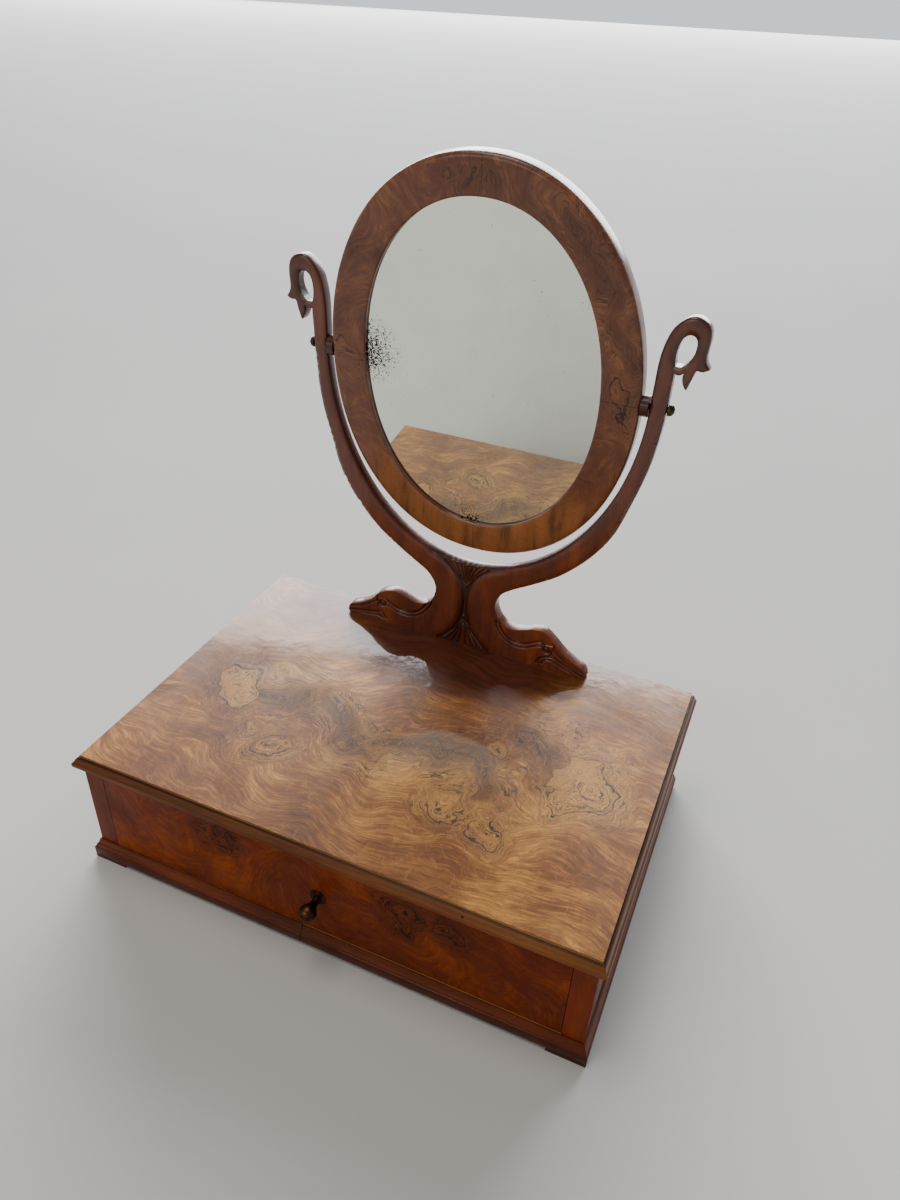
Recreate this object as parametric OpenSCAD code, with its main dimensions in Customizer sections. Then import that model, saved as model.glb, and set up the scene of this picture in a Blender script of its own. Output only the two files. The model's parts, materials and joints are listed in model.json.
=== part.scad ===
// Table-top dressing mirror: a shallow one-drawer box, a carved lyre-shaped stand
// and an oval mirror that tilts between the stand's arms.
// Millimetres. X runs along the front, Y away from the viewer, Z up.
// Z = 0 is the underside of the feet, X = 0 the middle of the box, and Y = 0 the
// middle of the whole object from knob to mirror back.

/* [Box] */
// Width over the top moulding
box_w = 460; // [430:1:500]
// Depth from the top moulding's lip to the back
box_d = 317; // [300:1:340]
// Height of the box above its feet
box_h = 119.6; // [112:0.2:130]
// Height of the corner feet
foot_h = 3; // [2:0.5:6]
// Projection of both mouldings from the carcass
mould_out = 6.3; // [5:0.1:8]
// Thickness of the box sides
side_t = 12; // [10:0.5:14]
// Width of the front stiles
stile_w = 17.7; // [15:0.1:20]

/* [Drawer] */
// Gap between drawer front and stiles
drawer_gap = 0.5; // [0.3:0.1:1]
// Thickness of the drawer front under its veneer
front_t = 13; // [12:0.5:16]
// Thickness of the drawer sides and back
lining_t = 8; // [6:0.5:10]
// Depth of the drawer behind its front
drawer_d = 282; // [240:1:283]

/* [Stand] */
// Thickness of the carved stand
stand_t = 12; // [12:0.5:18]
// Distance from the stand's face to the back of the box
stand_back = 28.6; // [24:0.2:40]
// Height of the pivot above the feet's top
pivot_h = 396; // [392:0.5:398]

/* [Mirror] */
// Half width of the frame
frame_a = 135.5; // [133:0.1:136.5]
// Half height of the frame
frame_b = 172; // [168:0.5:175]
// Half width of the visible glass
sight_a = 103.5; // [100:0.1:106]
// Half height of the visible glass
sight_b = 142; // [139:0.5:144]
// Thickness of the frame
frame_t = 17.5; // [16:0.5:20]
// Forward lean of the mirror
lean = 5.5; // [0:0.5:12]
// Drop of the frame's centre below the pivot
drop = 2.5; // [0:0.5:5]

/* [Hidden] */
$fn = 48;
eps = 0.01;
veneer = 1;
half_w = box_w / 2;
carc_x = half_w - mould_out;
front_y = -box_d / 2 + mould_out;
back_y = box_d / 2;
core_top = box_h - veneer;
core_z = core_top - 10;
flat_x = half_w - mould_out + 0.5;
flat_y = -box_d / 2 + mould_out - 0.5;
base_h = 17.8;
base_out = mould_out - 0.7;
base_joint_x = -16.4;
floor_z = 8;
floor_t = 10;
back_t = 8;
in_x = carc_x - side_t;
stile_x = carc_x - stile_w;
stile_d = 14;
foot_w = 32;
foot_d = 24;
// drawer
draw_x = stile_x - drawer_gap;
draw_z = floor_z + floor_t + 0.2;
front_z = base_h + 0.4;
front_top = core_z - 0.5;
lining_top = core_z - 8;
draw_y = front_y + veneer + front_t;
draw_back = draw_y + drawer_d;
draw_floor_z = draw_z + 6;
draw_floor_t = 4;
groove = 4;
tail_l = 9;
knob_z = 61;
knob_reach = 23;
// stand
stand_y = back_y - stand_back;
axis_y = stand_y + stand_t / 2;
dowel_r = 3;
// mirror
power = 2.1;
glass_depth = 4.2;
glass_t = 3;
back_board_t = 4;
lap = 6;
face_y = -frame_t / 2;
glass_y = face_y + glass_depth;
board_y = glass_y + glass_t;
boss_r = 8.6;
screw_r = 2.5;
run = 0.08;
boss_end = 141.6;
arm_out = 156.4;
mirror_reach = axis_y + frame_t / 2 * cos(lean) + (frame_b + drop) * sin(lean);
shift_y = (knob_reach - front_y - mirror_reach) / 2;

// Stand outline on one side of the middle: beak, crown and neck, carved a little
// differently on the two halves, then the arm and its scroll, which are alike
head_right = [
    [126.9, 121.5], [127.1, 123.7], [126.2, 126.8], [124.6, 129.7], [121.8, 131.9],
    [115.9, 135.1], [110, 138.4], [103.9, 142.3], [99, 146.5], [94.7, 150.9], [90.3, 154.7],
    [85.4, 159], [82.1, 161.2], [79.2, 161.9], [75.2, 161.4], [69.8, 160.3], [63.4, 157.9],
    [56.9, 155.5], [51.4, 154.4], [46.9, 154.6], [43.2, 156], [39.6, 158.7], [36.1, 162.8],
    [33.8, 167.3], [32.2, 171.2], [31.5, 175.5], [31.9, 179.7], [33.3, 184], [35.4, 188],
    [38.2, 191.6], [43.1, 195.4]
];
head_left = [
    [126.8, 121.5], [127, 124], [125.9, 127.8], [123.3, 130.2], [118, 132.8], [111.6, 135.6],
    [105.1, 139.7], [100.1, 143.6], [96.3, 147.9], [93.8, 151], [90.6, 153.7], [86.4, 156.3],
    [81.4, 158.3], [76.5, 159.6], [71.5, 159.6], [66.6, 158.5], [61.7, 156.7], [56.8, 154.9],
    [51.9, 154], [47, 154.1], [42.2, 155.1], [38.7, 157.3], [35.8, 160.4], [33.5, 163.9],
    [31.8, 168], [30.9, 171.6], [30.3, 175], [30.4, 178.4], [31.3, 181.8], [33.3, 185.9],
    [36.4, 190.3], [41.6, 195]
];
arm = [
    [50, 199.9], [59, 205.2], [68.3, 210.8], [86.5, 223], [103, 238.4], [119, 258], [132, 281],
    [140.5, 308], [148, 335.5], [152.5, 360.5], [155.1, 390], [155.7, 408], [155.9, 426.4]
];
// Small leaf under the scroll
lobe = [[155.9, 426.4], [158.5, 425.6], [161, 426.1], [162.8, 427.6]];
leaf_in = [[162.8, 427.6], [162.4, 424.4], [163.4, 420], [165.1, 416.8], [166.9, 414.8]];
leaf_out = [[166.9, 414.8], [168.6, 420.8], [169.9, 425], [170.9, 429.3], [172.4, 431.3]];
barb = [[172.4, 431.3], [176.5, 430.9], [181, 433]];
// Scroll from the barb over its top and down the inner side
scroll = [
    [181, 433], [178.2, 437], [177.1, 441], [177.2, 445.5], [177.5, 450], [177.7, 454.5],
    [177.3, 459], [176.1, 463], [173.8, 466.1], [170.5, 468.4], [166.6, 469.8], [162.8, 469.9],
    [159, 468.8], [155.4, 466.4], [152.2, 463.2], [149.6, 459.4], [147.3, 454.5],
    [145.6, 449], [144.2, 443], [143.2, 436], [142.7, 428], [142.5, 414], [142.3, 400]
];
arch_a = 142.3;
arch_b = 187.5;
arch_z = 400;
arch = [for (t = [2:2:90]) [arch_a * cos(t), arch_z - arch_b * sin(t)]];
scroll_hole = [
    [155.8, 432], [154.8, 437], [155, 443], [156.2, 449], [158.2, 453.2], [161, 455.6],
    [164, 455.9], [166.6, 454.6], [168.1, 451.8], [168.5, 448], [168, 443.5], [166.4, 439],
    [163.6, 434.9], [160, 432], [155.8, 432]
];

// Closed superellipse outline
function oval(a, b, k = 120) = [
    for (i = [0:k - 1])
        let (c = cos(360 * i / k), s = sin(360 * i / k))
        [a * sign(c) * pow(abs(c), 2 / power), b * sign(s) * pow(abs(s), 2 / power)]
];

// Smooth curve through points: Catmull-Rom, k steps a span, without its last point
function blend(p, q, r, s, t) = 0.5 * (2 * q + (r - p) * t
    + (2 * p - 5 * q + 4 * r - s) * t * t + (3 * q - p - 3 * r + s) * t * t * t);
function smooth(pts, k = 3) = [
    for (i = [0:len(pts) - 2], j = [0:k - 1])
        blend(pts[max(i - 1, 0)], pts[i], pts[i + 1], pts[min(i + 2, len(pts) - 1)], j / k)
];

function half_outline(head) = concat([[0, box_h], [125, box_h]], smooth(concat(head, arm), 2),
    smooth(lobe, 2), smooth(leaf_in, 2), smooth(leaf_out, 2), smooth(barb), smooth(scroll, 2), arch);

// Moulding sections: x outward from the carcass face, y up
top_section = [
    [0.5, core_z], [mould_out - 0.6, core_z], [mould_out, core_z + 1], [mould_out, core_z + 4.2],
    [5, core_z + 5.2], [3.4, core_z + 7.4], [1.6, core_z + 8.6], [0.5, core_z + 8.8]
];
base_section = [
    [0, 0], [base_out - 0.5, 0], [base_out, 0.5], [base_out, 9.2], [base_out - 0.6, 9.8],
    [base_out - 0.8, 10.6], [3.2, 12.4], [2, 14.6], [1.4, 16.8], [1.2, base_h], [0, base_h]
];

// ---- placing -------------------------------------------------------------

// Box frame to object frame
module placed() {
    translate([0, shift_y, foot_h])
        children();
}

// Pivot frame, leaning with the mirror
module on_pivot() {
    placed()
        translate([0, axis_y, pivot_h])
            rotate([lean, 0, 0])
                children();
}

// Flat outline in X and Z, thick from y0 to y1
module slab(y0, y1) {
    translate([0, y1, 0])
        rotate([90, 0, 0])
            linear_extrude(y1 - y0)
                children();
}

// Block between two corners
module block(low, high) {
    translate(low)
        cube(high - low);
}

module both_sides() {
    children();
    mirror([1, 0, 0])
        children();
}

// ---- box -----------------------------------------------------------------

module top_board() {
    color("saddlebrown") placed()
        difference() {
            block([-flat_x, flat_y, core_z], [flat_x, back_y, core_top]);
            stand_screw_bores();
        }
}

module top_veneer() {
    color("peru") placed()
        difference() {
            block([-flat_x, flat_y, core_top], [flat_x, back_y, box_h]);
            stand_screw_bores();
        }
}

// Section run along the front, mitred at both ends
module front_run(section, x0, x1) {
    translate([x0, front_y, 0])
        rotate([90, 0, 90])
            linear_extrude(x1 - x0)
                mirror([1, 0])
                    polygon(section);
}

// Section run along the right side from the front back to the rear
module side_run(section) {
    translate([carc_x, back_y, 0])
        rotate([90, 0, 0])
            linear_extrude(box_d)
                polygon(section);
}

// Plan area that belongs to the front moulding, up to the mitres
module front_mitre() {
    reach = 12;
    translate([0, 0, -1])
        linear_extrude(box_h + 2)
            polygon([
                [-carc_x + reach, front_y + reach], [-carc_x - reach, front_y - reach],
                [carc_x + reach, front_y - reach], [carc_x - reach, front_y + reach]
            ]);
}

module top_moulding_front() {
    color("sienna") placed()
        intersection() {
            front_run(top_section, -half_w, half_w);
            front_mitre();
        }
}

module top_moulding_side() {
    difference() {
        side_run(top_section);
        front_mitre();
    }
}

module top_moulding_left() {
    color("sienna") placed()
        mirror([1, 0, 0])
            top_moulding_side();
}

module top_moulding_right() {
    color("sienna") placed()
        top_moulding_side();
}

module side_board() {
    difference() {
        block([in_x, front_y + stile_d, 0], [carc_x, back_y, core_z]);
        block([in_x - eps, back_y - back_t, floor_z], [in_x + side_t / 2, back_y + 1, core_z + 1]);
    }
}

module side_left() {
    color("saddlebrown") placed()
        mirror([1, 0, 0])
            side_board();
}

module side_right() {
    color("saddlebrown") placed()
        side_board();
}

module back_board() {
    reach = in_x + side_t / 2;
    color("burlywood") placed()
        block([-reach, back_y - back_t, floor_z], [reach, back_y, core_z]);
}

module bottom_board() {
    color("burlywood") placed()
        difference() {
            block([-in_x, front_y, floor_z], [in_x, back_y - back_t, floor_z + floor_t]);
            both_sides()
                block([stile_x, front_y - 1, floor_z - 1], [in_x + 1, front_y + stile_d, draw_z]);
        }
}

module stile() {
    block([stile_x, front_y, 0], [carc_x, front_y + stile_d, core_z]);
}

module stile_left() {
    color("sienna") placed()
        mirror([1, 0, 0])
            stile();
}

module stile_right() {
    color("sienna") placed()
        stile();
}

module base_front(x0, x1) {
    intersection() {
        front_run(base_section, x0, x1);
        front_mitre();
    }
}

module base_moulding_front_left() {
    color("brown") placed()
        base_front(-half_w, base_joint_x - 0.2);
}

module base_moulding_front_right() {
    color("brown") placed()
        base_front(base_joint_x + 0.2, half_w);
}

module base_moulding_side() {
    difference() {
        side_run(base_section);
        front_mitre();
    }
}

module base_moulding_left() {
    color("brown") placed()
        mirror([1, 0, 0])
            base_moulding_side();
}

module base_moulding_right() {
    color("brown") placed()
        base_moulding_side();
}

module feet() {
    out_x = carc_x + base_out;
    color("brown") placed()
        both_sides() {
            block([out_x - foot_w, front_y - base_out, -foot_h], [out_x, front_y - base_out + foot_d, 0]);
            block([out_x - foot_w, back_y - foot_d, -foot_h], [out_x, back_y, 0]);
        }
}

module drawer_guides() {
    color("burlywood") placed()
        both_sides()
            block([draw_x + 0.2, front_y + stile_d, floor_z + floor_t],
                [in_x, back_y - back_t, floor_z + floor_t + 12]);
}

module drawer_stops() {
    color("burlywood") placed()
        both_sides()
            block([140, draw_back + 0.2, floor_z + floor_t], [165, back_y - back_t, floor_z + floor_t + 10]);
}

module glue_blocks() {
    leg = 14;
    long = 45;
    color("burlywood") placed()
        both_sides()
            for (y = [-95, 0, 95])
                translate([in_x, y + long / 2, floor_z])
                    rotate([90, 0, 0])
                        linear_extrude(long)
                            polygon([[0, 0], [-leg, 0], [0, -floor_z + 1]]);
}

// ---- stand ---------------------------------------------------------------

module swan(head) {
    difference() {
        slab(stand_y, stand_y + stand_t)
            difference() {
                polygon(half_outline(head));
                polygon(smooth(scroll_hole));
            }
        translate([130, axis_y, pivot_h])
            rotate([0, 90, 0])
                cylinder(h = 40, r = screw_r + run);
        translate([86.5, stand_y - 1, 141])
            rotate([-90, 0, 0])
                cylinder(h = 2, r = 2.4);
        translate([84, stand_y - 1, 126.5])
            rotate([0, -6, 0])
                cube([45, 2, 1]);
        for (z = [145, 185])
            translate([-1, axis_y, z])
                rotate([0, 90, 0])
                    cylinder(h = 16, r = dowel_r);
        stand_screw_bores();
    }
}

module swan_left() {
    color("sienna") placed()
        mirror([1, 0, 0])
            swan(head_left);
}

module swan_right() {
    color("sienna") placed()
        swan(head_right);
}

module stand_dowels() {
    color("burlywood") placed()
        for (z = [145, 185])
            translate([-14.5, axis_y, z])
                rotate([0, 90, 0])
                    cylinder(h = 29, r = dowel_r - 0.1);
}

// Screws that come up through the top into the stand
module stand_screw_bores() {
    for (x = [-95, -25, 25, 95])
        translate([x, axis_y, core_z - 1]) {
            cylinder(h = 28, r = 2.1);
            cylinder(h = 4, r = 4.1);
        }
}

module stand_screws() {
    color("dimgray") placed()
        for (x = [-95, -25, 25, 95])
            translate([x, axis_y, core_z])
                difference() {
                    union() {
                        cylinder(h = 26, r = 2);
                        cylinder(h = 2.8, r = 4);
                    }
                    translate([-5, -0.5, -eps])
                        cube([10, 1, 1]);
                }
}

// ---- drawer --------------------------------------------------------------

// Dovetail outlines in Y and Z that reach from y into the drawer front
module tails(x0, x1, grow = 0) {
    for (z = [34, 58, 82])
        translate([x0, draw_y, z])
            rotate([90, 0, 90])
                linear_extrude(x1 - x0)
                    polygon([
                        [eps, -4.5 - grow], [-tail_l - grow, -7 - grow],
                        [-tail_l - grow, 7 + grow], [eps, 4.5 + grow]
                    ]);
}

module drawer_front() {
    color("sienna") placed()
        difference() {
            block([-draw_x, front_y + veneer, front_z], [draw_x, draw_y, front_top]);
            both_sides()
                tails(draw_x - lining_t, draw_x + 1, 0.02);
            block([-draw_x + groove, draw_y - groove, draw_floor_z - 0.1],
                [draw_x - groove, draw_y + 1, draw_floor_z + draw_floor_t + 0.1]);
            knob_bore();
        }
}

module drawer_veneer() {
    color("chocolate") placed()
        difference() {
            block([-draw_x, front_y, front_z], [draw_x, front_y + veneer, front_top]);
            knob_bore();
        }
}

module lining() {
    difference() {
        union() {
            block([draw_x - lining_t, draw_y, draw_z], [draw_x, draw_back, lining_top]);
            tails(draw_x - lining_t, draw_x);
        }
        block([draw_x - lining_t - 1, draw_y - 20, draw_floor_z - 0.1],
            [draw_x - groove, draw_back + 1, draw_floor_z + draw_floor_t + 0.1]);
    }
}

module drawer_side_left() {
    color("tan") placed()
        mirror([1, 0, 0])
            lining();
}

module drawer_side_right() {
    color("tan") placed()
        lining();
}

module drawer_back() {
    reach = draw_x - lining_t;
    color("tan") placed()
        block([-reach, draw_back - lining_t, draw_floor_z + draw_floor_t + 0.1],
            [reach, draw_back, lining_top - 4]);
}

module drawer_bottom() {
    reach = draw_x - groove;
    color("wheat") placed()
        block([-reach, draw_y - groove, draw_floor_z], [reach, draw_back, draw_floor_z + draw_floor_t]);
}

module knob_bore() {
    translate([0, draw_y + 1, knob_z])
        rotate([90, 0, 0])
            cylinder(h = front_t + 4, r = 2.1);
}

// Turned about the knob's axis: x is the radius, y the distance from the drawer
module turned_on_drawer() {
    translate([0, front_y, knob_z])
        rotate([90, 0, 0])
            rotate_extrude()
                children();
}

module knob_collar() {
    color("goldenrod") placed()
        turned_on_drawer()
            polygon([
                [2.1, 0], [7, 0], [7.3, 0.5], [7, 1.1], [6, 1.5], [5.6, 2.2], [4.4, 2.8], [2.1, 2.8]
            ]);
}

module drawer_knob() {
    ball_r = 7;
    ball_c = knob_reach - ball_r;
    color("goldenrod") placed()
        difference() {
            turned_on_drawer()
                polygon(concat(
                    [[0, 2.8], [4.2, 2.8], [3.6, 4.4], [3, 6.2], [3.2, 8.4]],
                    [for (t = [-60:10:90]) [ball_r * cos(t), ball_c + ball_r * sin(t)]]
                ));
            translate([0, front_y + 1, knob_z])
                rotate([90, 0, 0])
                    cylinder(h = 14, r = 2.1);
        }
}

module knob_screw() {
    color("dimgray") placed()
        translate([0, draw_y + 2, knob_z])
            rotate([90, 0, 0])
                difference() {
                    union() {
                        cylinder(h = 27, r = 2);
                        cylinder(h = 2, r = 4.2);
                    }
                    translate([-5, -0.5, -eps])
                        cube([10, 1, 1]);
                }
}

// ---- mirror --------------------------------------------------------------

module ring(a_out, b_out, a_in, b_in, y0, y1) {
    slab(y0, y1)
        translate([0, -drop])
            difference() {
                polygon(oval(a_out, b_out));
                polygon(oval(a_in, b_in));
            }
}

module frame_ring() {
    rear = frame_t / 2;
    color("sienna") on_pivot()
        difference() {
            union() {
                ring(frame_a, frame_b, sight_a, sight_b, face_y + veneer, glass_y);
                ring(frame_a, frame_b, sight_a + lap, sight_b + lap, glass_y, rear);
            }
            nut_bores();
        }
}

module nut_bores() {
    both_sides()
        translate([115, 0, 0])
            rotate([0, 90, 0])
                cylinder(h = 30, r = 4);
}

// Quarter of the frame's face veneer; sx and sz pick the quarter
module face_quarter(sx, sz) {
    far = 200;
    edge = 1.2;
    intersection() {
        ring(frame_a - edge, frame_b - edge, sight_a, sight_b, face_y, face_y + veneer);
        block([min(0, sx * far), -far, min(0, sz * far)], [max(0, sx * far), far, max(0, sz * far)]);
    }
}

module frame_veneer_top_left() {
    color("peru") on_pivot()
        face_quarter(-1, 1);
}

module frame_veneer_top_right() {
    color("sienna") on_pivot()
        face_quarter(1, 1);
}

module frame_veneer_bottom_left() {
    color("sienna") on_pivot()
        face_quarter(-1, -1);
}

module frame_veneer_bottom_right() {
    color("peru") on_pivot()
        face_quarter(1, -1);
}

module mirror_glass() {
    slip = 0.4;
    color("lightsteelblue") on_pivot()
        slab(glass_y, board_y)
            translate([0, -drop])
                polygon(oval(sight_a + lap - slip, sight_b + lap - slip));
}

module mirror_back() {
    slip = 0.4;
    color("burlywood") on_pivot()
        slab(board_y, board_y + back_board_t)
            translate([0, -drop])
                polygon(oval(sight_a + lap - slip, sight_b + lap - slip));
}

// Brads that lie on the back board, close to the rebate's wall
module back_brads() {
    count = 10;
    color("dimgray") on_pivot()
        for (i = [0:count - 1])
            let (t = 360 * (i + 0.5) / count)
            translate([(sight_a + 1) * cos(t), board_y + back_board_t + 0.8, (sight_b + 1) * sin(t) - drop])
                rotate([0, -t, 0])
                    translate([-5, 0, 0])
                        rotate([0, 90, 0])
                            cylinder(h = 8, r = 0.8);
}

module boss() {
    difference() {
        translate([125, 0, 0])
            rotate([0, 90, 0])
                cylinder(h = boss_end - 125, r = boss_r);
        slab(-frame_t, frame_t)
            translate([0, -drop])
                polygon(oval(frame_a, frame_b));
        translate([115, 0, 0])
            rotate([0, 90, 0])
                cylinder(h = 40, r = screw_r + run);
    }
}

module pivot_boss_left() {
    color("saddlebrown") on_pivot()
        mirror([1, 0, 0])
            boss();
}

module pivot_boss_right() {
    color("saddlebrown") on_pivot()
        boss();
}

module nut() {
    translate([117, 0, 0])
        rotate([0, 90, 0])
            difference() {
                cylinder(h = 17, r = 3.95);
                translate([0, 0, -1])
                    cylinder(h = 20, r = screw_r + run);
            }
}

module pivot_nut_left() {
    color("goldenrod") on_pivot()
        mirror([1, 0, 0])
            nut();
}

module pivot_nut_right() {
    color("goldenrod") on_pivot()
        nut();
}

// Screw that pins an arm to the frame, with a slotted round head outside the arm
module pivot_screw() {
    head_r = 4.6;
    translate([119, 0, 0])
        rotate([0, 90, 0])
            difference() {
                union() {
                    cylinder(h = 40, r = screw_r);
                    translate([0, 0, arm_out - 119])
                        rotate_extrude()
                            polygon([
                                [0, 0], [head_r, 0], [head_r, 1.4], [4.2, 2.8], [3.2, 3.9], [1.8, 4.6], [0, 4.8]
                            ]);
                }
                translate([-6, -0.6, arm_out - 119 + 3])
                    cube([12, 1.2, 3]);
            }
}

module pivot_screw_left() {
    color("darkgoldenrod") on_pivot()
        mirror([1, 0, 0])
            pivot_screw();
}

module pivot_screw_right() {
    color("darkgoldenrod") on_pivot()
        pivot_screw();
}

// ---- parts ---------------------------------------------------------------

top_board();
top_veneer();
top_moulding_front();
top_moulding_left();
top_moulding_right();
side_left();
side_right();
back_board();
bottom_board();
stile_left();
stile_right();
base_moulding_front_left();
base_moulding_front_right();
base_moulding_left();
base_moulding_right();
feet();
drawer_guides();
drawer_stops();
glue_blocks();
swan_left();
swan_right();
stand_dowels();
stand_screws();
drawer_front();
drawer_veneer();
drawer_side_left();
drawer_side_right();
drawer_back();
drawer_bottom();
drawer_knob();
knob_collar();
knob_screw();
frame_ring();
frame_veneer_top_left();
frame_veneer_top_right();
frame_veneer_bottom_left();
frame_veneer_bottom_right();
mirror_glass();
mirror_back();
back_brads();
pivot_boss_left();
pivot_boss_right();
pivot_nut_left();
pivot_nut_right();
pivot_screw_left();
pivot_screw_right();
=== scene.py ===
"""Looks of a table-top dressing mirror: walnut box with a drawer, carved swan stand, oval mirror."""

import json
import math

import bmesh
import bpy
import numpy as np
from mathutils import Matrix, Vector
from mathutils.geometry import delaunay_2d_cdt


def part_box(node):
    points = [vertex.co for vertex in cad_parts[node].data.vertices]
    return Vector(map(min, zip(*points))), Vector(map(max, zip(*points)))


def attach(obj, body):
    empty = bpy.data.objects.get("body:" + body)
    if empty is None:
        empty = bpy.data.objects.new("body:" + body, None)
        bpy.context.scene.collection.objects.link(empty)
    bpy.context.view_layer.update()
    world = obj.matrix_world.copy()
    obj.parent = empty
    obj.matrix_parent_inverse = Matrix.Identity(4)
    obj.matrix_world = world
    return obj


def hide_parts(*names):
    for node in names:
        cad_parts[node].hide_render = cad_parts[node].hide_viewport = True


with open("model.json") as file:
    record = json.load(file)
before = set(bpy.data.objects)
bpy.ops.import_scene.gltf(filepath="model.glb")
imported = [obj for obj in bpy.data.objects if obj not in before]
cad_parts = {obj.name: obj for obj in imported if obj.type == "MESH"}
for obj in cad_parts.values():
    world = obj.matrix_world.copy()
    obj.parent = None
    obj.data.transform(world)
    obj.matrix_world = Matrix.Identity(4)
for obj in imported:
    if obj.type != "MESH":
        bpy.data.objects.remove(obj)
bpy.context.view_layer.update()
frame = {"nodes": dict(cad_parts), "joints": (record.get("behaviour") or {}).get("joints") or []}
scene = bpy.context.scene
NODES = frame["nodes"]
MM = 0.001

# ---- places taken from the frame ----
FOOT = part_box("base_moulding_left")[0][2]
STAND_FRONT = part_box("swan_right")[0][1]
STAND_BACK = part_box("swan_right")[1][1]
TOP_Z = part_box("top_veneer")[1][2]
CARC_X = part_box("side_right")[1][0]
FRONT_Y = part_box("drawer_veneer")[0][1]
BACK_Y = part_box("back_board")[1][1]
CORE_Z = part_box("top_board")[0][2]
HINGE = next(j for j in frame["joints"] if j["name"] == "mirror_tilt")
PIVOT = Vector(HINGE["pos_m"])
# how far the mirror leans back at rest
LEAN = math.radians(5.5)
# marks and camera are placed from the middle of the box; the stand's front is this far behind it
STAND_FRONT_IN_BOX = 0.1299
SHIFT_Y = STAND_FRONT - STAND_FRONT_IN_BOX


# ---- mesh helpers ----
def mark_sharp(bm, degrees):
    limit = math.radians(degrees)
    for e in bm.edges:
        if len(e.link_faces) == 2:
            e.smooth = e.calc_face_angle(0.0) < limit


def make(name, verts, faces, mat, body, sharp, carving_shade_map=None):
    """One piece from plain lists, riding on a body in place of the CAD node of its name.
    carving_shade_map: for each vertex, how much painted shade darkens it in a groove, crease or rounded
    edge."""
    mesh = bpy.data.meshes.new(name)
    mesh.from_pydata([tuple(v) for v in verts], [], [tuple(f) for f in faces])
    # each vertex's painted shade for the carving, kept on the mesh for its material
    if carving_shade_map is not None:
        mesh.attributes.new("carving_shade_map", "FLOAT", "POINT").data.foreach_set("value", carving_shade_map)
    bm = bmesh.new()
    bm.from_mesh(mesh)
    bmesh.ops.remove_doubles(bm, verts=bm.verts, dist=1e-6)
    bmesh.ops.dissolve_degenerate(bm, dist=1e-7, edges=bm.edges)
    bmesh.ops.recalc_face_normals(bm, faces=bm.faces)
    for f in bm.faces:
        f.smooth = True
    mark_sharp(bm, sharp)
    bm.to_mesh(mesh)
    bm.free()
    obj = bpy.data.objects.new(name, mesh)
    scene.collection.objects.link(obj)
    mesh.materials.append(mat)
    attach(obj, body)
    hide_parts(name)


def dress(names, mat, bevel):
    """Material for CAD nodes that stay, and edges softened by bevel mm."""
    for name in names:
        obj = NODES[name]
        obj.data.materials.clear()
        obj.data.materials.append(mat)
        if bevel:
            mod = obj.modifiers.new("soft_edges", "BEVEL")
            mod.width = bevel * MM
            mod.segments = 2
            mod.limit_method = "ANGLE"
            mod.angle_limit = math.radians(40)
            mod.harden_normals = True


def loft(rows, closed_rows=True, caps=False):
    """Quads between rows of points; each row is one closed section."""
    verts = [p for row in rows for p in row]
    n = len(rows[0])
    faces = []
    count = len(rows) if closed_rows else len(rows) - 1
    for i in range(count):
        a, b = i * n, ((i + 1) % len(rows)) * n
        for j in range(n):
            k = (j + 1) % n
            faces.append((a + j, a + k, b + k, b + j))
    if caps:
        faces.append(tuple(range(n)))
        faces.append(tuple((len(rows) - 1) * n + j for j in reversed(range(n))))
    return verts, faces


def catmull(points, steps):
    """Smooth curve through points, without its last point."""
    pts = [np.array(p, float) for p in points]
    out = []
    for i in range(len(pts) - 1):
        p, q = pts[max(i - 1, 0)], pts[i]
        r, s = pts[i + 1], pts[min(i + 2, len(pts) - 1)]
        for j in range(steps):
            t = j / steps
            out.append(0.5 * (2 * q + (r - p) * t + (2 * p - 5 * q + 4 * r - s) * t * t
                              + (3 * q - p - 3 * r + s) * t ** 3))
    return out


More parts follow.
